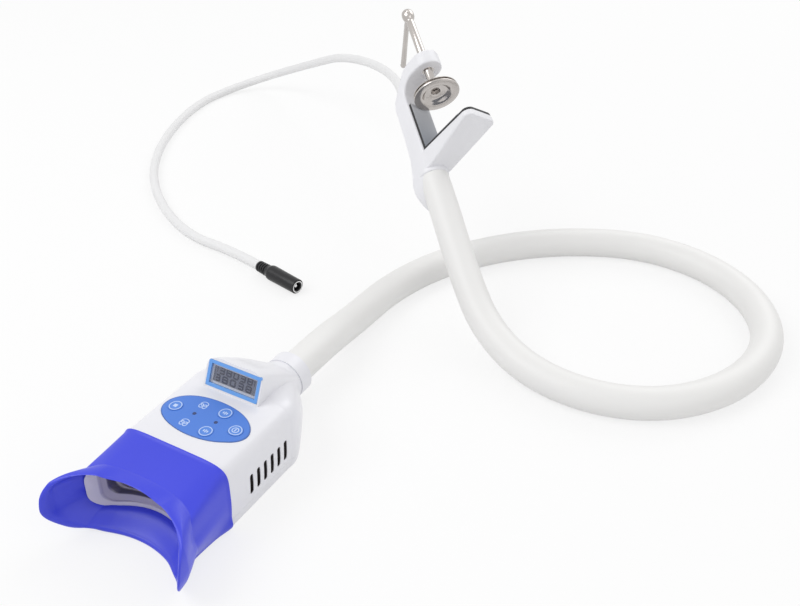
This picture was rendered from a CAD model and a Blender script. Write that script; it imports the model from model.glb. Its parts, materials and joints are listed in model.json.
# %% [markdown]
# # A teeth whitening lamp on a gooseneck arm
# The lamp head lies on a table, its arm runs in a loop, and its clamp stands up at the arm's end. The solids
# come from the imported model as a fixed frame, in metres. This lesson gives them their finishes, and makes the
# soft, bent and turned pieces anew as surfaces that are worked out with numpy.

import json

import bmesh
import bpy
import numpy as np
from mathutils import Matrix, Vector


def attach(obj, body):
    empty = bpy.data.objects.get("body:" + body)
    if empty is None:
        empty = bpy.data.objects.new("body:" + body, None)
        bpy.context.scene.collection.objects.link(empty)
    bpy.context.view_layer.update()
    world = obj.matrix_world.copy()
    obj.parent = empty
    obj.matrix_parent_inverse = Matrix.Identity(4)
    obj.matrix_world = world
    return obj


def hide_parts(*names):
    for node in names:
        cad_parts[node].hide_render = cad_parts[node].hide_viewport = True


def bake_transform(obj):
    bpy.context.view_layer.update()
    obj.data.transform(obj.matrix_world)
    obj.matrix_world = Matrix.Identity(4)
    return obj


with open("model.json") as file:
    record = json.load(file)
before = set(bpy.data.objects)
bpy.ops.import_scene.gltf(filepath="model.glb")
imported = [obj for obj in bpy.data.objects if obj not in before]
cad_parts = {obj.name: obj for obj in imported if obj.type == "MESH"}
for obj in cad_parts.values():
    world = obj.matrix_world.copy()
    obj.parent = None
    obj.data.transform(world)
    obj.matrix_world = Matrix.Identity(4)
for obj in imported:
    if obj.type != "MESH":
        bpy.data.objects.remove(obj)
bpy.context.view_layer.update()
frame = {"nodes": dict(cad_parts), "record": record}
scene = bpy.context.scene
mm = 0.001
print("nodes in the frame:", len(frame["nodes"]))

# %% [markdown]
# ## The camera
# A product picture is easiest to match when the camera comes first. The edges of the head's flat base give the
# two vanishing points, and these give the lens, the height over the table and the tilt. A camera looks down its
# own -Z axis, so to_track_quat turns that axis along the line of sight.

# %% Camera
eye = Vector((0.2914, -0.3000, 0.3900))
looking = Vector((-0.4173, 0.7141, -0.5621))
camera_data = bpy.data.cameras.new("photo_camera")
camera_data.sensor_width = 36.0
camera_data.lens = 46.485
camera_data.clip_start = 0.01
camera = bpy.data.objects.new("photo_camera", camera_data)
camera.location = eye
camera.rotation_euler = looking.to_track_quat("-Z", "Y").to_euler()
scene.collection.objects.link(camera)
scene.camera = camera
print("camera:", round(eye.z / mm), "mm over the table, lens", round(camera_data.lens, 1), "mm")

# %% [markdown]
# ## The lead
# A lead has a fixed length and lies in loose curves. It could be a mesh tube, but a NURBS curve of order 3 with
# a round bevel is smoother and shorter: it passes near a few places chosen by hand and rounds every corner. It
# leaves the boot on the clamp, hangs in an arch, comes down to the table and runs back to its socket.

# %% Lead
lead_radius = 3.5 * mm
lead_places = mm * np.array([
    (-34.2, 281.6, 73.65), (-46.3, 299.5, 69.0), (-75.0, 332.0, 84.0), (-102.0, 362.0, 83.0),
    (-137.0, 383.0, 80.0), (-178.0, 402.0, 70.0), (-218.0, 427.0, 49.0), (-258.0, 445.0, 29.0),
    (-295.0, 449.0, 12.0), (-319.0, 425.0, 3.6), (-324.0, 384.0, 3.6), (-311.0, 332.0, 3.6),
    (-288.0, 283.0, 3.6), (-255.0, 240.0, 3.6), (-211.0, 206.0, 3.6), (-170.0, 188.0, 3.7),
    (-132.0, 185.3, 5.5), (-102.0, 178.7, 5.5),
])


def soft_lead(name, places, radius):
    """A round lead: a NURBS spline of order 3. The bevel's depth is 1, so each point's radius is the lead's own,
    and the box that Blender measures round the curve is right too."""
    curve = bpy.data.curves.new(name, "CURVE")
    curve.dimensions = "3D"
    curve.bevel_depth = 1.0
    curve.bevel_resolution = 8
    curve.use_fill_caps = True
    spline = curve.splines.new("NURBS")
    spline.points.add(len(places) - 1)
    spline.points.foreach_set("co", np.column_stack([places, np.ones(len(places))]).ravel())
    spline.points.foreach_set("radius", np.full(len(places), radius))
    spline.order_u = 3
    spline.use_endpoint_u = True
    spline.resolution_u = 12
    lead = bpy.data.objects.new(name, curve)
    scene.collection.objects.link(lead)
    return lead


lead = soft_lead("lead_cable", lead_places, lead_radius)
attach(lead, "clamp")
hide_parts("power_cable")
print("lead:", len(lead_places), "places,", round(2 * lead_radius / mm, 1), "mm thick")

# %% [markdown]
# ## The studio
# The picture was taken on a white sweep under large soft lamps. Three area lamps give that light. The floor
# shows white to the camera and to reflections, through Light Path, but still takes the object's soft shadow.


# %% Lamps
def soft_lamp(name, place, aim, size, power):
    """A square area lamp that faces a point."""
    data = bpy.data.lights.new(name, "AREA")
    data.size = size
    data.energy = power
    lamp = bpy.data.objects.new(name, data)
    lamp.location = place
    lamp.rotation_euler = (Vector(aim) - Vector(place)).to_track_quat("-Z", "Y").to_euler()
    scene.collection.objects.link(lamp)


soft_lamp("key_lamp", (-0.9, -0.7, 1.5), (0.0, 0.1, 0.0), 1.2, 15.0)
soft_lamp("fill_lamp", (1.4, -0.4, 1.0), (0.0, 0.1, 0.0), 1.4, 5.0)
soft_lamp("back_lamp", (0.2, 1.6, 1.2), (0.0, 0.2, 0.0), 1.2, 8.0)
scene.view_settings.view_transform = "Standard"
print("lamps:", len(bpy.data.lights))

# %% [markdown]
# ## Shader sums as plain expressions
# A finish is easier to read as arithmetic than as a web of nodes. Wire stands for one output socket, and each
# operator on it adds the Math node that it means. Finish makes a material, and its one node method adds any
# other node: its type, its settings, then its sockets' values or links.


# %% Two small classes for shaders
class Wire:
    """One output socket of a finish, with arithmetic."""

    def __init__(self, finish, socket):
        self.finish = finish
        self.socket = socket

    def math(self, operation, *values):
        """A Math node on the given values."""
        settings = {"operation": operation}
        return self.finish.node("ShaderNodeMath", settings, dict(enumerate(values)))["Value"]

    def __add__(self, other):
        return self.math("ADD", self, other)

    def __sub__(self, other):
        return self.math("SUBTRACT", self, other)

    def __rsub__(self, other):
        return self.math("SUBTRACT", other, self)

    def __mul__(self, other):
        return self.math("MULTIPLY", self, other)

    def __truediv__(self, other):
        return self.math("DIVIDE", self, other)

    def __abs__(self):
        return self.math("ABSOLUTE", self)

    __radd__ = __add__
    __rmul__ = __mul__

    def most(self, other):
        """The larger of two values."""
        return self.math("MAXIMUM", self, other)

    def root(self):
        """The square root."""
        return self.math("SQRT", self)

    def wrapped(self, most, least):
        """The value brought round into a range, which repeats a pattern."""
        return self.math("WRAP", self, most, least)

    def clamped(self):
        """The value kept between 0 and 1."""
        return self.finish.node("ShaderNodeClamp", {}, {"Value": self})["Result"]


class Finish:
    """A material under way: its node tree, its shader node and the object's own coordinates."""

    def __init__(self, data):
        data.use_nodes = True
        self.data = data
        self.tree = data.node_tree
        self.shader = self.tree.nodes.get("Principled BSDF")

    def node(self, kind, settings, sockets):
        """Adds a node with its settings, then sets or links its sockets, and returns its outputs."""
        added = self.tree.nodes.new(kind)
        for key, value in settings.items():
            setattr(added, key, value)
        usable = {socket.name: socket for socket in reversed(added.inputs) if socket.enabled}
        for key, value in sockets.items():
            self.put(usable[key] if isinstance(key, str) else added.inputs[key], value)
        return {socket.name: Wire(self, socket) for socket in added.outputs if socket.enabled}

    def put(self, socket, value):
        """Links a wire to a socket, or sets the socket's own value."""
        if isinstance(value, Wire):
            self.tree.links.new(value.socket, socket)
        elif isinstance(value, tuple) and len(value) == 3 and len(socket.default_value) == 4:
            socket.default_value = (*value, 1.0)
        else:
            socket.default_value = value

    def face(self, **sockets):
        """Sets the shader's sockets by name, with an underscore for a space."""
        for key, value in sockets.items():
            self.put(self.shader.inputs[key.replace("_", " ")], value)

    def place(self):
        """The object's own coordinates, as a vector in metres."""
        return self.node("ShaderNodeTexCoord", {}, {})["Object"]

    def along(self):
        """The object's own coordinates as three values in millimetres."""
        parts = self.node("ShaderNodeSeparateXYZ", {}, {"Vector": self.place()})
        return [parts[axis] * 1000.0 for axis in "XYZ"]

    def noise(self, scale):
        """Soft noise between 0 and 1, with a scale per metre."""
        sockets = {"Vector": self.place(), "Scale": scale, "Detail": 3.0}
        return self.node("ShaderNodeTexNoise", {}, sockets)["Fac"]

    def mixed(self, mask, first, second):
        """The first colour where the mask is 0 and the second where it is 1."""
        settings = {"data_type": "RGBA"}
        return self.node("ShaderNodeMix", settings, {"Factor": mask, "A": first, "B": second})["Result"]

    def bumped(self, height, strength, distance):
        """Raises the surface by a height between 0 and 1, over a distance in metres."""
        sockets = {"Strength": strength, "Distance": distance, "Height": height}
        self.face(Normal=self.node("ShaderNodeBump", {}, sockets)["Normal"])


# %% [markdown]
# ## The table
# The floor mixes two shaders. The plain one is a matt white that takes shadow. The other glows at strength 1
# where the camera or a reflection looks at it, so the page stays white without more light on the object.

# %% Floor and world
floor_data = bpy.data.meshes.new("floor")
floor_data.from_pydata([(-12, -12, 0), (12, -12, 0), (12, 12, 0), (-12, 12, 0)], [], [(0, 1, 2, 3)])
floor = bpy.data.objects.new("floor", floor_data)
scene.collection.objects.link(floor)


def seen_directly(finish):
    """1 for rays from the camera, from gloss and from clear pieces, and 0 for the light's own rays."""
    rays = finish.node("ShaderNodeLightPath", {}, {})
    return (rays["Is Camera Ray"] + rays["Is Glossy Ray"] + rays["Is Transmission Ray"]).clamped()


sweep = Finish(bpy.data.materials.new("studio_floor"))
sweep.face(Base_Color=(0.86, 0.86, 0.86), Roughness=0.9, Specular_IOR_Level=0.0)
glow = sweep.node("ShaderNodeEmission", {}, {"Color": (1.0, 1.0, 1.0), "Strength": 1.0})["Emission"]
both = sweep.node(
    "ShaderNodeMixShader", {},
    {0: seen_directly(sweep) * 0.76, 1: Wire(sweep, sweep.shader.outputs[0]), 2: glow},
)["Shader"]
sweep.put(sweep.tree.nodes["Material Output"].inputs["Surface"], both)
floor_data.materials.append(sweep.data)

air = Finish(bpy.data.worlds.new("studio_world"))
background = air.tree.nodes["Background"]
air.put(background.inputs["Color"], (1.0, 1.0, 1.0))
air.put(background.inputs["Strength"], 0.62 + seen_directly(air) * 0.38)
scene.world = air.data

# %% [markdown]
# ## Moulded plastic
# The casing, the clamp and the cable are moulded. Such plastic is never one flat colour: its shade drifts a
# little over a few centimetres, its gloss is uneven, and its skin has a fine grain. Two noises of different
# scales give all three, and Object coordinates hold them in place on the piece.


# %% Moulded finishes
def moulded(name, colour, rough, coat=0.0, grain=900.0, relief=0.04, shade=0.94):
    """Plastic: a broad noise mixes a darker shade in, and a fine one varies the gloss and the height."""
    finish = Finish(bpy.data.materials.new(name))
    broad = finish.noise(grain / 25)
    fine = finish.noise(grain)
    darker = tuple(value * shade for value in colour)
    finish.face(
        Base_Color=finish.mixed(broad, darker, colour),
        Roughness=rough - 0.04 + fine * 0.08,
        Coat_Weight=coat,
    )
    finish.bumped(fine, relief, 0.0002)
    return finish


finishes = {
    "housing_white": moulded("housing_white", (0.80, 0.80, 0.84), 0.30, coat=0.2),
    "clamp_white": moulded("clamp_white", (0.80, 0.80, 0.83), 0.38, grain=1500.0, relief=0.08),
    "sleeve_white": moulded("sleeve_white", (0.80, 0.795, 0.785), 0.46, grain=500.0, shade=0.96),
    "cable_white": moulded("cable_white", (0.78, 0.78, 0.785), 0.5, grain=700.0, shade=0.97, relief=0.008),
    "bezel_blue": moulded("bezel_blue", (0.13, 0.36, 0.82), 0.30, coat=0.3),
    "silicone_blue": moulded("silicone_blue", (0.042, 0.058, 0.72), 0.38, grain=420.0, relief=0.1, shade=0.84),
    "lamp_dark": moulded("lamp_dark", (0.03, 0.05, 0.16), 0.2),
    "black_plastic": moulded("black_plastic", (0.020, 0.019, 0.021), 0.5, shade=0.7),
    "socket_black": moulded("socket_black", (0.018, 0.018, 0.020), 0.32, relief=0.1, shade=0.7),
    "chip_blue": moulded("chip_blue", (0.10, 0.22, 0.95), 0.2, coat=0.5),
}
print("moulded finishes:", len(finishes))

# %% [markdown]
# ## Metal
# The screw and its pad are nickel plated, the fasteners are bright steel, and the contacts are plated too.
# Metal shows its surroundings, so fine scratches matter more than colour: a stretched noise roughens it along
# one direction and a broad one clouds it.


# %% Metal finishes
def plated(name, colour, rough, cloud=0.86):
    """Metal: a noise stretched by a Mapping node gives the scratches, and a broad one the clouding."""
    finish = Finish(bpy.data.materials.new(name))
    drawn = finish.node("ShaderNodeMapping", {}, {"Vector": finish.place(), "Scale": (1.0, 1.0, 14.0)})["Vector"]
    lines = finish.node("ShaderNodeTexNoise", {}, {"Vector": drawn, "Scale": 260.0, "Detail": 4.0})["Fac"]
    dull = tuple(value * cloud for value in colour)
    finish.face(
        Base_Color=finish.mixed(finish.noise(60.0), dull, colour),
        Roughness=rough + lines * 0.12,
        Metallic=1.0,
    )
    finish.bumped(lines, 0.05, 0.0001)
    return finish


finishes["plated_steel"] = plated("plated_steel", (0.60, 0.565, 0.54), 0.09, cloud=0.70)
finishes["screw_steel"] = plated("screw_steel", (0.60, 0.60, 0.62), 0.22)
finishes["core_steel"] = plated("core_steel", (0.52, 0.52, 0.54), 0.32)
finishes["reflector_silver"] = plated("reflector_silver", (0.84, 0.85, 0.87), 0.05)
finishes["sink_aluminium"] = plated("sink_aluminium", (0.74, 0.75, 0.77), 0.28)
finishes["contact_silver"] = plated("contact_silver", (0.84, 0.84, 0.84), 0.12)
print("with metal:", len(finishes))

# %% [markdown]
# ## Clear plastic
# The tray, the front window and the display's cover are clear. A transmission shader would need many light
# bounces, so Alpha lets part of the light straight through and the gloss stays on top. A milky cloud varies it.


# %% Clear finishes
def clear(name, colour, rough, alpha):
    """Clear plastic: alpha is the share of light that stops at the surface, and a cloud adds a little."""
    finish = Finish(bpy.data.materials.new(name))
    cloud = finish.noise(60.0)
    finish.face(
        Base_Color=finish.mixed(cloud, tuple(value * 0.95 for value in colour), colour),
        Alpha=alpha + cloud * 0.08,
        Roughness=rough + cloud * 0.06,
    )
    return finish


finishes["display_clear"] = clear("display_clear", (0.25, 0.28, 0.36), 0.08, 0.08)
finishes["window_clear"] = clear("window_clear", (0.52, 0.47, 0.56), 0.10, 0.55)
finishes["tray_clear"] = clear("tray_clear", (0.86, 0.86, 0.93), 0.22, 0.78)
print("with clear plastic:", len(finishes))

# %% [markdown]
# The tray's steps show as darker lines, because light sinks into its deep walls. Each step is a rounded rectangle
# on the Object coordinates whose sill rises in the middle, and each mixes its own shade in. The distance from the
# rectangle's core, sideways and downwards, is under the corner's radius inside it.

# %% Steps in the tray's finish
tray_half, tray_rise = 33.2, 2.2
tray_steps = (
    (29.0, 10.7, 6.6, (0.40, 0.37, 0.50)),
    (26.8, 15.0, 5.4, (0.10, 0.09, 0.14)),
    (25.7, 16.1, 4.8, (0.36, 0.32, 0.40)),
)


def step_down(value, limit, soft=0.12):
    """1 where the value is under the limit, 0 above it, over a soft edge."""
    return ((limit - value) / soft + 0.5).clamped()


stepped = finishes["tray_clear"]
x_tray, _, z_tray = stepped.along()
sill = z_tray + x_tray * x_tray * (tray_rise / tray_half ** 2)
shade_tray = stepped.mixed(stepped.noise(60.0), (0.60, 0.57, 0.68), (0.70, 0.67, 0.80))
for half, low, radius, shade in tray_steps:
    aside = (abs(x_tray) - (half - radius)).most(0.0)
    below = ((low + radius + tray_rise) - sill).most(0.0)
    apart = (aside * aside + below * below).root()
    shade_tray = stepped.mixed(step_down(apart, radius, 0.4), shade_tray, shade)
stepped.face(Base_Color=shade_tray)
print("shaded steps:", len(tray_steps))

# %% [markdown]
# ## The printed panel
# The oval panel is a printed film under the keys: a mid blue with thin white rings round the keys and plain
# signs in them. Print is colour without height, so it is a mask. Each shape is a distance on the panel's plane
# in millimetres, and a soft step turns the distance into ink.


# %% Ink shapes
def far(x, y, middle, flat=1.0):
    """The distance from a middle point, with the second axis stretched by flat."""
    across = x - middle[0]
    along = (y - middle[1]) * flat
    return (across * across + along * along).root()


def ring(distance, radius, line=0.22):
    """A thin line at a radius."""
    return step_down(abs(distance - radius), line)


def bar(x, y, middle, half_wide, half_tall):
    """A small filled rectangle."""
    across = abs(x - middle[0]) / half_wide
    along = abs(y - middle[1]) / half_tall
    return step_down(across.most(along), 1.0, 0.3)


key_places = [(-19.6, 0.0), (6.9, 8.0), (6.9, -8.0), (19.6, 0.0)]
mark_places = [(-7.0, 7.8), (-7.0, -7.8)]
print("signs on the panel:", len(key_places) + len(mark_places))

# %% [markdown]
# The larger of two masks joins them, so the ink stays one ink where signs overlap. A darker band follows the
# oval's edge, and a noise keeps the blue from being flat.


# %% Printed finishes
def printed(name, ground, ink, rough):
    """Blue film with white rings, a sign in each ring and a tooth sign beside them, all as masks."""
    finish = Finish(bpy.data.materials.new(name))
    x, y, _ = finish.along()
    mask = bar(x, y, key_places[0], 1.1, 1.1).most(ring(far(x, y, key_places[3]), 1.7, 0.25))
    for middle in key_places:
        mask = mask.most(ring(far(x, y, middle), 3.3))
    for middle in key_places[1:]:
        mask = mask.most(bar(x, y, middle, 0.35, 1.1) * 0.9)
    for middle in key_places[1:3]:
        for aside in (-1.1, 1.1):
            mask = mask.most(bar(x, y, (middle[0] + aside, middle[1]), 0.35, 0.7))
    for middle in mark_places:
        mask = mask.most(ring(far(x, y, (middle[0], middle[1] + 0.7), 1.25), 2.1, 0.25))
        for aside in (-1.1, 1.1):
            mask = mask.most(ring(far(x, y, (middle[0] + aside, middle[1] - 1.0), 0.75), 1.1))
    oval = far(x, y, (0.0, 0.0), 26.9 / 14.4)
    edge = step_down(26.9 - oval, 0.7, 0.2)
    broad = finish.noise(40.0)
    blue = finish.mixed(broad, tuple(value * 0.93 for value in ground), ground)
    rimmed = finish.mixed(edge, blue, tuple(value * 0.72 for value in ground))
    finish.face(Base_Color=finish.mixed(mask * 0.75, rimmed, ink), Roughness=rough + finish.noise(700.0) * 0.08)
    finish.bumped(finish.noise(900.0), 0.03, 0.0002)
    return finish


finishes["panel_blue"] = printed("panel_blue", (0.070, 0.205, 0.67), (0.62, 0.74, 0.92), 0.34)
finishes["key_blue"] = printed("key_blue", (0.085, 0.235, 0.70), (0.66, 0.77, 0.93), 0.34)
print("with print:", len(finishes))

# %% [markdown]
# ## The display
# Dark digits stand on a grey ground behind the display's clear cover. The display leans back, so its own upward
# direction comes first: a dot product of the place with it, less the height of the display's middle. Digits of
# seven strokes are then bars in a cell that repeats along the row.


# %% Display digits
lean = np.radians(25.0)
up_display = (0.0, float(np.sin(lean)), float(np.cos(lean)))
middle_up = 21.0 * up_display[1] + 43.0 * up_display[2] + 7.8
digits = Finish(bpy.data.materials.new("display_dark"))
x_display = digits.along()[0]
height = digits.node(
    "ShaderNodeVectorMath", {"operation": "DOT_PRODUCT"}, {0: digits.place(), 1: up_display}
)["Value"] * 1000.0 - middle_up


def digit_row(across, along, pitch, half_wide, half_tall, stroke):
    """Uprights and level bars in each cell. A cell's number, 0, 1 or 2, leaves strokes out: the middle bar makes
    an 8 a 0, and the left upright makes it a 3."""
    cell = across.wrapped(pitch / 2, -pitch / 2)
    kind = across.math("FLOOR", across / pitch + 0.5).wrapped(3.0, 0.0)
    upright = step_down(abs(abs(cell) - half_wide), stroke, 0.1) * step_down(abs(along), half_tall, 0.1)
    upright = upright * (1.0 - step_down(cell, 0.0, 0.1) * step_down(abs(kind - 1.0), 0.5, 0.1))
    middle = step_down(abs(along), stroke, 0.1) * (1.0 - step_down(kind, 0.5, 0.1))
    bars = step_down(abs(abs(along) - half_tall), stroke, 0.1).most(middle)
    return upright.most(bars * step_down(abs(cell), half_wide, 0.1))


top_row = digit_row(x_display, height - 2.3, 4.6, 1.4, 1.6, 0.46)
low_row = digit_row(x_display + 1.2, height + 2.1, 5.2, 1.5, 1.55, 0.48)
framed = step_down(abs(x_display), 12.4, 0.2)
glass_ground = digits.mixed(digits.noise(90.0), (0.17, 0.175, 0.215), (0.23, 0.235, 0.28))
digits.face(
    Base_Color=digits.mixed(top_row.most(low_row) * framed * 0.92, glass_ground, (0.012, 0.010, 0.022)),
    Roughness=0.42 + digits.noise(500.0) * 0.1,
)
finishes["display_dark"] = digits
print("display leans back by", round(float(np.degrees(lean))), "degrees")

# %% [markdown]
# ## Casing with dark vents, and the clamp's lining
# The vents look black because the lamp is hollow and dark inside. The casing's finish turns dark where it lies
# inside its own walls: a box on the Object coordinates, whose sides lean as the walls do. The clamp's lining is
# grey cloth with black edges: dot products with the clamp's own directions tell its two faces from its sides.

# %% Casing and lining finishes
casing = finishes["housing_white"]
side_lean = 0.115
x_case, y_case, z_case = casing.along()
inside = step_down(abs(x_case), 32.45, 0.2) * step_down(abs(x_case) - z_case * side_lean, 30.52, 0.2)
inside = inside * step_down(abs(y_case - 2.0), 24.5, 0.4) * step_down(abs(z_case - 22.0), 14.0, 0.4)
white = casing.mixed(casing.noise(36.0), (0.75, 0.75, 0.79), (0.80, 0.80, 0.84))
casing.face(
    Base_Color=casing.mixed(inside, white, (0.022, 0.014, 0.014)),
    Roughness=0.26 + casing.noise(900.0) * 0.08 + inside * 0.6,
    Coat_Weight=0.2 - inside * 0.2,
)

clamp_middle = np.array([7.018, 254.655, 98.851])
clamp_out = np.array([0.662018, 0.141946, 0.735924])
clamp_across = np.array([0.36439, 0.797083, -0.481538])
clamp_up = np.array([-0.654944, 0.58695, 0.47596])


def clamp_distance(finish, direction):
    """How far a place lies along one of the clamp's directions, in millimetres."""
    sockets = {0: finish.place(), 1: tuple(direction.tolist())}
    along = finish.node("ShaderNodeVectorMath", {"operation": "DOT_PRODUCT"}, sockets)["Value"]
    return along * 1000.0 - float(clamp_middle @ direction)


lining = Finish(bpy.data.materials.new("liner_black"))
out_lining = clamp_distance(lining, clamp_out)
up_lining = clamp_distance(lining, clamp_up)
cloth = step_down(-16.5 - out_lining, 0.0, 0.1) * step_down(1.8 - up_lining, 0.0, 0.1)
fibre = lining.noise(1500.0)
shaded = lining.mixed((up_lining / 40.0).clamped(), (0.24, 0.26, 0.30), (0.62, 0.63, 0.66))
lining.face(
    Base_Color=lining.mixed(cloth * (0.85 + fibre * 0.15), (0.02, 0.02, 0.022), shaded), Roughness=0.55 + fibre * 0.2
)
lining.bumped(fibre, 0.3, 0.0002)
finishes["liner_black"] = lining

# %% [markdown]
# ## Printed boards
# A circuit board is green lacquer over copper, so its tracks show as slightly lighter lines. Wrapping the
# coordinates makes a lattice of lines, and a noise switches stretches of it off, which looks like a layout.

# %% Board finish
board = Finish(bpy.data.materials.new("board_green"))
x_board, y_board, z_board = board.along()
tracks = step_down(abs((x_board + z_board * 0.5).wrapped(0.9, -0.9)), 0.2, 0.1)
crossings = step_down(abs((y_board + z_board * 0.5).wrapped(1.1, -1.1)), 0.2, 0.1)
switched = step_down(board.noise(160.0), 0.5, 0.05)
lines = (tracks * switched).most(crossings * (1.0 - switched))
board.face(
    Base_Color=board.mixed(lines, (0.012, 0.12, 0.045), (0.05, 0.24, 0.10)), Roughness=0.34, Coat_Weight=0.3
)
finishes["board_green"] = board

# %% [markdown]
# ## Finishes on the solids
# The record gives each solid a slot, and each finish has a slot's name. The socket's black plastic is duller than
# the others, so its specular level is lowered.

# %% Put the finishes on the solids
finishes["socket_black"].face(Specular_IOR_Level=0.3)
slot_of = {entry["node"]: entry["material_slot"] for entry in frame["record"]["subparts"]}
for node, solid in frame["nodes"].items():
    solid.data.materials.clear()
    solid.data.materials.append(finishes[slot_of[node]].data)
lead.data.materials.append(finishes["cable_white"].data)
print("finishes:", len(finishes))

# %% [markdown]
# ## From grids to meshes
# Each new piece is a grid of places. One function turns a grid into quads, joining its last row to its first
# where it closes round. Poles and seams fall together there, so doubles are merged before the faces are turned
# outwards.


# %% Grid mesh
def grid_piece(name, places, finish, wraps=(False, True), sharp=40.0):
    """Quads between the places of a grid of rows and columns; a wrapped direction closes round."""
    rows, columns = places.shape[:2]
    number = np.arange(rows * columns).reshape(rows, columns)
    number = np.vstack([number, number[:1]]) if wraps[0] else number
    number = np.hstack([number, number[:, :1]]) if wraps[1] else number
    quads = np.stack([number[:-1, :-1], number[1:, :-1], number[1:, 1:], number[:-1, 1:]], axis=-1).reshape(-1, 4)
    data = bpy.data.meshes.new(name)
    data.from_pydata(places.reshape(-1, 3), [], quads)
    shape = bmesh.new()
    shape.from_mesh(data)
    bmesh.ops.remove_doubles(shape, verts=shape.verts, dist=1e-6)
    bmesh.ops.holes_fill(shape, edges=shape.edges, sides=0)
    bmesh.ops.recalc_face_normals(shape, faces=shape.faces)
    shape.to_mesh(data)
    shape.free()
    data.polygons.foreach_set("use_smooth", np.full(len(data.polygons), True))
    data.set_sharp_from_angle(angle=np.radians(sharp))
    data.materials.append(finishes[finish].data)
    piece = bpy.data.objects.new(name, data)
    scene.collection.objects.link(piece)
    print(name, "has", len(data.polygons), "faces")
    return piece


# %% [markdown]
# ## The arm's sleeve
# A gooseneck has one smooth sleeve from the lamp to the clamp. It could be a bevelled curve, but the arm bends
# at six places, and a mesh can follow two bodies at once. The line runs through the middles of its runs as
# parabolas, circles are set square to it, and the tube is parted halfway between bends, where both parts move
# with the same body, so no joint shows.

# %% Arm line
arm_radius = 10.0 * mm
arm_places = mm * np.array([
    (0.0, 76.0, 22.0), (0.0, 110.06, 22.0), (-5.98, 150.1, 10.97), (-5.06, 196.12, 10.0),
    (8.97, 240.06, 10.0), (36.11, 280.1, 10.0), (74.06, 312.08, 10.0), (120.98, 332.88, 10.0),
    (169.05, 328.98, 10.0), (209.07, 302.98, 10.0), (230.92, 260.08, 10.0), (224.94, 210.94, 10.0),
    (197.11, 171.94, 10.0), (157.09, 154.0, 10.0), (112.93, 157.12, 10.65), (75.44, 176.1, 16.82),
    (48.76, 197.94, 33.4), (13.72, 230.27, 63.55), (-0.69, 243.18, 74.03),
])
bend_runs = np.array([0, 2, 5, 10, 13, 16])


def parabolas(places, steps):
    """Between the middles of two runs the line is a parabola that leans towards the corner between them."""
    middles = (places[:-1] + places[1:]) / 2
    t = np.linspace(0.0, 1.0, steps, endpoint=False)[None, :, None]
    first, corner, last = middles[:-1, None], places[1:-1, None], middles[1:, None]
    curve = (1 - t) ** 2 * first + 2 * t * (1 - t) * corner + t ** 2 * last
    start = places[0] + (middles[0] - places[0]) * np.linspace(0.0, 1.0, steps // 2, endpoint=False)[:, None]
    end = middles[-1] + (places[-1] - middles[-1]) * np.linspace(0.0, 1.0, steps // 2)[:, None]
    return np.vstack([start, curve.reshape(-1, 3), end]), len(start)


arm_steps = 24
arm_line, lead_in = parabolas(arm_places, arm_steps)
heading = np.gradient(arm_line, axis=0)
heading /= np.linalg.norm(heading, axis=1)[:, None]
print("arm line, mm:", round(float(np.linalg.norm(np.diff(arm_line, axis=0), axis=1).sum()) / mm, 1))

# %% [markdown]
# A tube needs a frame at every place of its line. This arm never points straight up, so the level direction
# square to its heading serves as one axis, and the cross product gives the other.


# %% Sleeve pieces
def full_turn(sides):
    """The angles of a whole turn."""
    return np.linspace(0.0, 2 * np.pi, sides, endpoint=False)


def tube_rings(line, along, radius, sides=48):
    """Circles square to the line, from a level axis and the axis square to both."""
    level = np.cross(along, np.array([0.0, 0.0, 1.0]))
    level /= np.linalg.norm(level, axis=1)[:, None]
    rise = np.cross(level, along)
    turn = full_turn(sides)[:, None]
    return line[:, None] + (level[:, None] * np.cos(turn) + rise[:, None] * np.sin(turn)) * radius


arm_rings = tube_rings(arm_line, heading, arm_radius)
bend_index = lead_in + bend_runs * arm_steps
halfway = (bend_index[:-1] + bend_index[1:]) // 2
cuts = np.concatenate([[0], halfway, [len(arm_line) - 1]])
for number, place in enumerate(bend_index):
    sleeve = grid_piece(f"arm_sleeve_{number + 1}", arm_rings[cuts[number]:cuts[number + 1] + 1], "sleeve_white")
    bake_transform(sleeve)
    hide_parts(f"sleeve_{number}", *([f"sleeve_{number + 1}"] if number == 5 else []))

# %% [markdown]
# ## The silicone mouthpiece
# The cover is moulded silicone. It is a short box section at the lamp, swells towards the face, and ends in a
# curved rim that reaches forward at both cheeks. A section is given by a flat foot, bulging sides and a domed
# top. Every line round it runs forward until it meets the face, which is found by stepping towards it.

# %% Mouthpiece section
cover_back, cover_length, cover_thick = -24.5, 59.5, 2.4
head_half, head_high, foot_share, gap = 33.0, 42.3, 0.91, 0.3
cover_stations = np.array([
    (0.00, 1.00, 1.000, 0.57, 6.0), (0.22, 1.01, 1.070, 0.56, 5.5), (0.45, 1.03, 1.200, 0.54, 4.8),
    (0.72, 1.08, 1.300, 0.52, 4.0), (1.00, 1.14, 1.360, 0.50, 3.5),
])
station_curves = [np.polyfit(cover_stations[:, 0], cover_stations[:, column], 3) for column in range(1, 5)]


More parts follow.
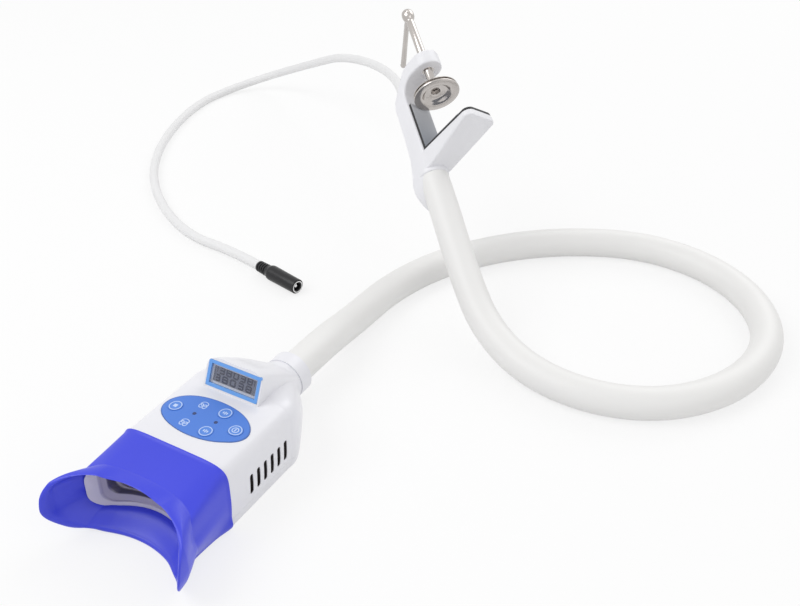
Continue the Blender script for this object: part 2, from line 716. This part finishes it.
def cover_section(place, inset):
    """A section in millimetres: a flat foot, parabolas for the sides and a superellipse dome. The place, 0 at the
    lamp and 1 at the face, may differ for each line round it. The inset shrinks it all."""
    base, half, waist, power = [np.polyval(curve, place)[:, None] for curve in station_curves]
    base, half = base * foot_share * head_half + gap - inset, half * head_half + gap - inset
    low, waist, high = gap + inset, waist * head_high, head_high + 0.1 - inset
    foot = np.linspace(-1.0, 1.0, 60, endpoint=False)
    side = np.linspace(0.0, 1.0, 36, endpoint=False)
    dome = np.linspace(0.0, np.pi, 140, endpoint=False)
    bulge = half - (1 - side) ** 2 * (half - base)
    rise = low + (waist - low) * side
    level = half * np.sign(np.cos(dome)) * np.abs(np.cos(dome)) ** (2 / power)
    crown = waist + (high - waist) * np.sin(dome) ** (2 / power)
    x = np.hstack([base * foot, bulge, level, -bulge[:, ::-1]])
    z = np.hstack([np.full_like(base * foot, low), rise, crown, rise[:, ::-1]])
    return x, z


sections = np.stack(cover_section(np.linspace(0.0, 1.0, 5), 0.0), axis=-1)
print("a section has", sections.shape[1], "places")

# %% [markdown]
# The rim is where the cover meets a face: a hollow cylinder of the face's width, and an oval that keeps the
# cheeks' lobes round. Each line's place on the rim depends on its own side and height there, so a few rounds of
# stepping halfway towards it settle all of them at once.


# %% Mouthpiece rim
def eased(value):
    """0 below 0 and 1 above 1, with a soft start and end: 3 v squared less 2 v cubed."""
    value = np.clip(value, 0.0, 1.0)
    return value ** 2 * (3 - 2 * value)


def rim_reach(x, z):
    """How far back the face reaches, in millimetres: the nearer of the cylinder and the oval, joined softly. The
    low cheeks lean forward, and the one at +x, which is bent out, leans most."""
    bent = eased(x / 24.0 + 0.5)
    cylinder = -108.08 + np.sqrt(54.58 ** 2 - np.minimum(x ** 2, 54.0 ** 2))
    cylinder = cylinder - (0.5 + 2.5 * bent) * eased((26.0 - z) / 14.0) * eased((np.abs(x) - 18.0) / 14.0)
    level = (z - 18.5) / np.where(z < 18.5, 20.4 + 2.6 * bent, 24.0)
    oval = -45.0 - 34.0 * np.maximum(1.0 - level ** 2, 0.0) ** 0.56
    apart = np.sqrt((cylinder - oval) ** 2 + 16.0)
    return (cylinder + oval + apart) / 2


# %% [markdown]
# Both walls are stacked from such lines, the inner one a wall's thickness inside the outer one. A moving mean
# round each section softens its corners, as a mould does.


# %% Mouthpiece walls
def cover_wall(inset, shares):
    """Lines from the lamp to the rim: rows are shares of each line's own length, columns go round. The table of a
    section has a row and a column for each line, so its diagonal holds each line's own place."""
    columns = sections.shape[1]
    reach = np.full(columns, 0.8)
    for _ in range(40):
        x, z = map(np.diagonal, cover_section(reach, inset))
        reach += 0.5 * ((cover_back - rim_reach(x, z)) / cover_length - reach)
    rows = []
    for share in shares:
        x, z = map(np.diagonal, cover_section(reach * share, inset))
        rows.append(np.stack([x, cover_back - cover_length * reach * share, z], axis=-1))
    return np.array(rows)


def rounded(rows, width):
    """Softens the corners round each section with a moving mean over neighbouring columns."""
    weights = np.ones(2 * width + 1) / (2 * width + 1)
    moved = [np.roll(rows, shift, axis=1) for shift in range(-width, width + 1)]
    return np.tensordot(weights, np.array(moved), axes=1)


shares = np.linspace(0.0, 1.0, 90)
outer = rounded(cover_wall(0.0, shares), 2)
inner = rounded(cover_wall(cover_thick, shares), 2)
print("the rim reaches", round(outer[:, :, 1].min(), 1), "mm along y")

# %% [markdown]
# The real rim is a flange: the wall runs in to a crease and flares out beyond it, most at the cheeks. The
# distance along the cover gives how deep the dip is at every place, and it fades towards the foot. Inside, the
# floor climbs in a soft ramp to the sill of the tray, whose front bows back in the middle, as the teeth do.


# %% Flange and ramp
def outwards(rows):
    """The direction square to a wall: the cross product of the way round and the way along, with the sign that
    makes it point up on the dome."""
    round_way = np.roll(rows, -1, axis=1) - np.roll(rows, 1, axis=1)
    square = np.cross(round_way, np.gradient(rows, axis=0))
    square /= np.linalg.norm(square, axis=2)[:, :, None]
    return square * np.sign(square[45, 150, 2])


def flared(rows, depth):
    """Moves a wall inwards, most at the crease, so that it runs in to the crease and flares out beyond it."""
    along = cover_back - rows[:, :, 1]
    beside = np.abs(rows[:, :, 0])
    crease = 21.5 + 6.0 * np.minimum((beside / 36.0) ** 2, 1.3)
    dip = np.where(along < crease, along / crease, 1.0 - (along - crease) / 15.0)
    shoulder = depth + 1.6 * eased((beside - 22.0) / 12.0) * eased((rows[:, :, 2] - 15.0) / 10.0)
    fade = eased((rows[:, :, 2] - 1.0 + 8.0 * np.clip((beside - 20.0) / 8.0, 0.0, 1.0)) / 12.0)
    return rows - outwards(rows) * (shoulder * np.clip(dip, 0.0, 1.0) ** 1.15 * fade)[:, :, None]


def tray_front(x, side=-54.6, bow=14.0):
    """Where the tray's front stands: at its ends plus a bow, 1 less the square of the share of the half width."""
    return side + bow * (1.0 - (x / tray_half) ** 2)


def tray_lift(x):
    """How much higher the tray's sill stands in the middle than at its ends."""
    return tray_rise * np.clip(1.0 - (x / tray_half) ** 2, 0.0, 1.0)


def sloped(rows):
    """Raises the inner floor in a soft ramp up to the tray's sill, and lets it down again behind the tray."""
    x, y, z = np.moveaxis(rows, -1, 0)
    near = eased((y - tray_front(x) + 16.0) / 15.0) * eased((-36.9 - y) / 1.8)
    lift = (8.6 - 2.7 + tray_lift(x)) * near * np.clip((17.0 - z) / 14.3, 0.0, 1.0)
    return np.stack([x, y, z + lift], axis=-1)


outer, inner = flared(outer, 3.5), sloped(flared(inner, 2.0))
print("each wall has", outer.shape[0], "rows of", outer.shape[1], "places")

# %% [markdown]
# A bead runs round the edge at the lamp and swells into a small lip at the low corners. A half circle joins the
# outer wall to the inner one, and the last row joins the first, so no edge is open.

# %% Mouthpiece
along = cover_back - outer[:, :, 1]
bead = 0.45 * np.exp(-(along / 1.4) ** 2) * np.clip(outer[:, :, 2] / 4.0 - 0.3, 0.0, 1.0)
low_corner = 1.5 * np.exp(-((outer[:, :, 2] - 3.5) / 4.0) ** 2 - (along / 6.5) ** 2)
low_corner *= np.clip(np.abs(outer[:, :, 0]) - 27.0, 0.0, 3.0) / 3.0
outer = outer + outwards(outer) * bead[:, :, None]
outer[:, :, 0] += np.sign(outer[:, :, 0]) * low_corner
edge_middle = (outer[-1] + inner[-1]) / 2
edge_half = (outer[-1] - inner[-1]) / 2
forward = outer[-1] - outer[-4]
forward /= np.linalg.norm(forward, axis=1)[:, None]
half_turn = np.linspace(0.0, np.pi, 9)[1:-1, None, None]
edge_size = np.linalg.norm(edge_half, axis=1)[None, :, None]
edge = edge_middle + edge_half * np.cos(half_turn) + forward * edge_size * np.sin(half_turn)
walls = np.vstack([outer, edge, inner[::-1]])
cover = grid_piece("mouth_cover_soft", mm * walls, "silicone_blue", wraps=(True, True), sharp=60.0)
print("mouthpiece, mm:", walls.reshape(-1, 3).min(axis=0).round(1), walls.reshape(-1, 3).max(axis=0).round(1))
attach(cover, "mouthpiece")
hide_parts("mouth_cover")

# %% [markdown]
# ## The stepped tray
# A frosted tray stands in the mouthpiece. It steps inwards to the window, with rounded corners at every step.
# Each row of the profile gives a depth and a rounded rectangle, which then bows back and rises in the middle. The
# rows run in along the steps and back out along the outside, so the solid closes on itself.

# %% Rounded rectangles
def four_corners(count):
    """The angles of four arcs of some places each, and on which side of the middle each lies, for two axes."""
    turn = np.concatenate([np.linspace(0.0, np.pi / 2, count) + quarter * np.pi / 2 for quarter in range(4)])
    return turn, np.repeat([1.0, -1.0, -1.0, 1.0], count), np.repeat([1.0, 1.0, -1.0, -1.0], count)


def with_straights(values, count):
    """Adds places along the straight sides between the corners, so that the sides can bow too."""
    between = np.linspace(0.0, 1.0, 14)[1:-1]
    ends = count * np.arange(1, 5)[:, None] - 1
    places = np.sort(np.concatenate([np.arange(4.0 * count), (ends + between).ravel()]))
    first = places.astype(int)
    share = places - first
    closed = np.hstack([values, values[:, :1]])
    return closed[:, first] * (1 - share) + closed[:, first + 1] * share


def rounded_rectangle(sizes, count=9):
    """Four quarter circles joined by straight sides. Each row holds a half width, a low and a high side and the
    corners' radius, and gives a row of x and a row of z."""
    turn, side_x, side_z = four_corners(count)
    half_wide, low, high, radius = sizes.T[:, :, None]
    x = side_x * (half_wide - radius) + radius * np.cos(turn)
    z = (high + low) / 2 + side_z * ((high - low) / 2 - radius) + radius * np.sin(turn)
    return with_straights(x, count), with_straights(z, count)


# %% Tray
tray_rows = np.array([
    (-55.2, 33.6, 8.7, 36.6, 9.8), (-55.0, 33.0, 9.1, 36.2, 9.5), (-54.2, 29.4, 10.6, 35.2, 6.8),
    (-53.8, 29.1, 10.8, 35.0, 6.6), (-52.4, 28.8, 11.0, 34.8, 6.5), (-52.1, 28.3, 11.4, 34.5, 6.3),
    (-51.4, 27.0, 14.8, 33.4, 5.6), (-51.0, 26.7, 15.1, 33.2, 5.4), (-45.4, 26.0, 15.9, 32.6, 5.0),
    (-45.0, 25.6, 16.2, 32.3, 4.8), (-44.6, 24.4, 17.0, 31.4, 4.2), (-44.2, 24.1, 17.2, 31.2, 4.0),
    (-37.4, 24.0, 17.3, 31.1, 4.0), (-37.0, 24.2, 17.1, 31.3, 4.0), (-37.0, 29.6, 8.6, 36.0, 8.0),
    (-46.0, 31.0, 8.4, 36.2, 9.0), (-52.6, 32.6, 8.3, 36.6, 9.6), (-54.9, 33.7, 8.4, 36.8, 10.0),
])
tray_x, tray_z = rounded_rectangle(tray_rows[:, 1:])
tray_z += tray_lift(tray_x) * eased((22.0 - tray_z) / 8.0)
tray_from, tray_to = -55.2, -37.0
tray_depth = (tray_rows[:, :1] - tray_from) / (tray_to - tray_from)
tray_y = (1.0 - tray_depth) * tray_front(tray_x, tray_from) + tray_to * tray_depth
tray_places = mm * np.stack([tray_x, tray_y, tray_z], axis=-1)
tray = grid_piece("mouth_tray", tray_places, "tray_clear", wraps=(True, True), sharp=35.0)
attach(tray, "mouthpiece")
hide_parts("clear_tray")

# %% [markdown]
# ## The clamp's bracket
# The bracket is a moulded C: a lug round the screw, a spine, and a jaw that widens to its tip. It could be cut
# from boxes and bevelled, but a rounded section carried along its side view gives soft edges everywhere. Each
# station has an inner place, an outer place and a width, all in the clamp's own directions.


# %% Bracket section
def from_clamp(out, across, up):
    """A place from its three distances along the clamp's own directions, in millimetres."""
    return clamp_middle + out[..., None] * clamp_out + across[..., None] * clamp_across + up[..., None] * clamp_up


def carried_section(rows, radius):
    """A rounded rectangle for each row of an inner place, an outer place and a width, with arcs as corners."""
    inner, outer, width = rows[:, :2], rows[:, 2:4], rows[:, 4]
    depth = np.linalg.norm(outer - inner, axis=1)
    radius = np.minimum(radius, 0.45 * np.minimum(depth, width))
    turn, side_a, side_b = four_corners(7)
    a = side_a * (depth / 2 - radius)[:, None] + radius[:, None] * np.cos(turn)
    b = side_b * (width / 2 - radius)[:, None] + radius[:, None] * np.sin(turn)
    middle = ((inner + outer) / 2)[:, None]
    way = ((outer - inner) / depth[:, None])[:, None]
    flat = middle + way * a[:, :, None]
    return from_clamp(flat[:, :, 0], b, flat[:, :, 1])


def spread(stations, count):
    """Evenly spaced places between the stations, each value running straight from one to the next."""
    own = np.concatenate([[0.0], np.cumsum(np.linalg.norm(np.diff(stations[:, :4], axis=0), axis=1) + 0.01)])
    return np.stack([np.interp(np.linspace(0.0, own[-1], count), own, column) for column in stations.T], axis=1)


# %% [markdown]
# The lug's end is a half circle seen from above, so its width follows a circle's. The inner corner is an arc, and
# the outer one falls in three slopes. Below the jaw the spine thins out along the sleeve, and so hugs the arm.

# %% Spine with lug
quarter_turn = np.linspace(0.0, np.pi / 2, 14)
lug_out = 10.0 * np.cos(quarter_turn)
lug = np.stack([
    lug_out, np.full(14, 56.2), lug_out, np.full(14, 66.8), 20.0 * np.maximum(np.sin(quarter_turn), 0.03),
], axis=1)
corner_stops = [0.0, 0.45, 1.3, 1.57]
corner = np.stack([
    -5.8 - 12.5 * np.sin(quarter_turn), 43.7 + 12.5 * np.cos(quarter_turn),
    np.interp(quarter_turn, corner_stops, [-5.8, -14.0, -28.8, -30.2]),
    np.interp(quarter_turn, corner_stops, [66.8, 63.9, 47.0, 41.0]), np.full(14, 20.0),
], axis=1)
spine = np.array([
    (-18.3, 43.7, -30.2, 41.0, 20.0), (-18.3, 20.0, -30.8, 18.0, 20.0), (-18.3, 0.0, -32.0, 0.0, 20.0),
    (-20.0, -10.0, -34.8, -12.0, 20.4), (-24.0, -16.0, -36.9, -18.0, 20.4), (-27.0, -22.0, -37.6, -24.0, 19.0),
    (-31.0, -30.0, -37.2, -31.0, 13.0), (-34.5, -35.0, -36.4, -35.5, 6.0),
])
spine_rows = np.vstack([lug, corner[1:], spread(spine, 40)[1:]])
spine_piece = grid_piece("clamp_spine", mm * carried_section(spine_rows, 1.6), "clamp_white")

# %% [markdown]
# The jaw widens and thins to its tip, whose corners are rounded as quarter ellipses.

# %% Jaw
jaw_round = np.linspace(0.0, np.pi / 2, 10)
jaw_out = 22.4 + 5.0 * np.sin(jaw_round)
jaw_end = np.stack([
    jaw_out, np.zeros(10), jaw_out, np.full(10, -4.6), 27.2 - 10.0 * (1.0 - np.cos(jaw_round)),
], axis=1)
jaw = np.array([(-27.0, -1.0, -27.0, -13.8, 20.0), (-18.3, 0.0, -17.0, -13.5, 20.2), (22.4, 0.0, 22.4, -4.7, 27.2)])
jaw_rows = np.vstack([spread(jaw, 30), jaw_end[1:]])
jaw_piece = grid_piece("clamp_jaw", mm * carried_section(jaw_rows, 1.4), "clamp_white")

# %% [markdown]
# The black lining runs on to the very tip. This last stretch lies on the jaw and keeps 1 mm inside its outline.

# %% Lining at the jaw's tip
tip_out = np.concatenate([[16.0, 22.3], jaw_out[1:]])
tip_width = np.concatenate([[23.5, 24.9], jaw_end[1:, 4] - 2.0])
tip_rows = np.stack([tip_out, np.full(11, 1.9), tip_out, np.full(11, 0.03), tip_width], axis=1)
tip_piece = grid_piece("lining_tip", mm * carried_section(tip_rows, 0.4), "liner_black")
for piece, slot in ((spine_piece, "clamp_white"), (jaw_piece, "clamp_white"), (tip_piece, "liner_black")):
    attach(piece, "clamp")
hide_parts("clamp_bracket")

# %% [markdown]
# Where the sleeve meets the jaw it has a thin lip. It is the same kind of tube as the sleeve, with a radius that
# rises and falls over a few rings.

# %% Sleeve lip
lip_profile = np.array([(-2.6, 9.9), (-2.5, 10.4), (-2.2, 10.65), (-1.0, 10.7), (0.6, 10.7), (0.8, 9.9)])
lip_line = arm_line[-1] + heading[-1] * lip_profile[:, :1] * mm
lip_rings = tube_rings(lip_line, heading[-1:], lip_profile[:, 1:, None] * mm)
lip = grid_piece("sleeve_lip", lip_rings, "clamp_white")
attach(lip, "clamp")

# %% [markdown]
# ## Turned pieces
# The screw, its pressure pad and its bush are turned on a lathe, so a profile of radius and height spun round
# the screw's axis is all that they need. The profile carries the small things that catch the light: here the
# pad's flat ring, its dish and the second plate behind it.


# %% Lathe and pad
def turned(profile, sides=96):
    """Radius and height of each row, spun round the screw's axis."""
    turn = full_turn(sides)
    radius, up = profile[:, :1], np.repeat(profile[:, 1:], sides, axis=1)
    return mm * from_clamp(radius * np.cos(turn), radius * np.sin(turn), up)


pad_profile = np.array([
    (15.9, 35.6), (15.7, 35.1), (15.3, 35.0), (11.0, 35.0), (10.4, 35.2), (9.4, 36.4), (8.2, 37.6), (7.2, 38.1),
    (6.2, 38.2), (3.4, 38.2), (3.15, 38.4), (3.1, 38.8), (3.1, 39.6), (3.8, 39.7), (3.8, 41.2), (3.05, 41.2),
    (3.05, 44.0), (4.8, 44.0), (5.6, 43.7), (6.0, 43.0), (6.2, 41.0), (6.8, 40.0), (8.4, 39.2), (11.0, 38.9),
    (15.0, 38.8), (15.4, 38.4), (15.2, 38.0), (13.4, 37.8), (13.2, 37.2), (13.5, 36.6), (15.6, 36.4), (15.9, 36.1),
])
pad = grid_piece("pad_turned", turned(pad_profile), "plated_steel", wraps=(True, True), sharp=50.0)
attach(pad, "pad")
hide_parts("pressure_pad")

# %% [markdown]
# The screw's knob is a ball on a narrow neck. A profile that starts or ends on the axis closes there in a pole.

# %% Screw
screw_profile = np.array([
    (0.0, 41.0), (2.6, 41.0), (2.9, 41.3), (2.9, 99.0), (2.7, 99.8), (2.45, 100.8), (2.6, 101.6), (3.2, 102.6),
    (3.85, 103.7), (4.25, 105.0), (4.4, 106.6), (4.25, 108.2), (3.8, 109.5), (3.0, 110.4), (1.8, 111.0), (0.0, 111.2),
])
screw = grid_piece("screw_turned", turned(screw_profile, 64), "plated_steel", sharp=50.0)
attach(screw, "screw")
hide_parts("clamp_screw")

# %% [markdown]
# The bush lines the lug's bore. Its profile goes all round its wall, so the last row joins the first.

# %% Bush
bush_profile = np.array([
    (2.98, 56.15), (3.1, 56.15), (4.1, 56.15), (4.25, 56.3), (4.3, 56.8), (4.3, 66.5), (4.25, 67.0), (4.1, 67.15),
    (3.1, 67.15), (2.98, 67.15),
])
bush = grid_piece("bush_turned", turned(bush_profile, 64), "plated_steel", wraps=(True, True), sharp=40.0)
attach(bush, "clamp")
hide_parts("lug_bushing")

# %% [markdown]
# The cross bar slides through the knob. It is a rod with a ball at each end, and its upper ball rests inside the
# knob. Rings square to the bar's own line take their radius from a profile along it.

# %% Cross bar
bar_turn, bar_up = np.radians(141.3), 107.4
ball_turn = np.linspace(0.0, np.pi, 12)
ball = 2.2 * np.stack([-np.cos(ball_turn), np.sin(ball_turn)], axis=1)
bar_profile = np.vstack([ball[:9] + (-2.6, 0.0), ball[4:] + (53.3, 0.0)])
bar_along, bar_size = bar_profile[:, :1], bar_profile[:, 1:]
beside, above = bar_size * np.cos(full_turn(40)), bar_size * np.sin(full_turn(40))
bar_places = from_clamp(
    np.cos(bar_turn) * bar_along - np.sin(bar_turn) * beside,
    np.sin(bar_turn) * bar_along + np.cos(bar_turn) * beside,
    bar_up + above,
)
bar_piece = grid_piece("bar_turned", mm * bar_places, "plated_steel")
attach(bar_piece, "bar")
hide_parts("tommy_bar", "bar_ends")

# %% [markdown]
# ## The lead's socket
# The socket is turned too: a thin grooved relief that lets the lead bend, a round shoulder, and a body that
# tapers to its open end. Its profile gives a distance and a radius: it starts on the axis at the lead's end and
# stops on the bore's floor. The lead is declared as a cord here, once the pieces on its end exist.

# %% Socket
socket_start = np.array([-108.0, 180.0, 5.5])
socket_along = np.array([[0.97663, -0.21492, 0.0]])
groove_rows = [
    (start + step, 3.9 + 0.04 * (start - 6.0) - depth)
    for start in (7.6, 9.7, 11.8, 13.9) for step, depth in ((0.0, 0.0), (0.15, 0.6), (0.9, 0.6), (1.05, 0.0))
]
socket_profile = np.array([
    (6.0, 0.0), (6.0, 3.5), (6.15, 3.8), (6.4, 3.9), *groove_rows,
    (16.4, 4.3), (16.9, 4.42), (17.4, 4.7), (18.0, 5.05), (18.8, 5.32), (19.8, 5.44), (21.0, 5.45), (32.0, 5.3),
    (44.5, 5.16), (44.8, 5.12), (44.95, 5.0), (45.0, 4.9), (45.0, 4.25), (44.9, 4.2), (35.0, 4.2), (35.0, 0.0),
])
socket_line = socket_start + socket_along * socket_profile[:, :1]
socket_rings = tube_rings(socket_line, socket_along, socket_profile[:, 1:, None], 64)
socket = grid_piece("socket_turned", mm * socket_rings, "socket_black", sharp=30.0)
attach(socket, "clamp")
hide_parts("socket_relief", "socket_body")
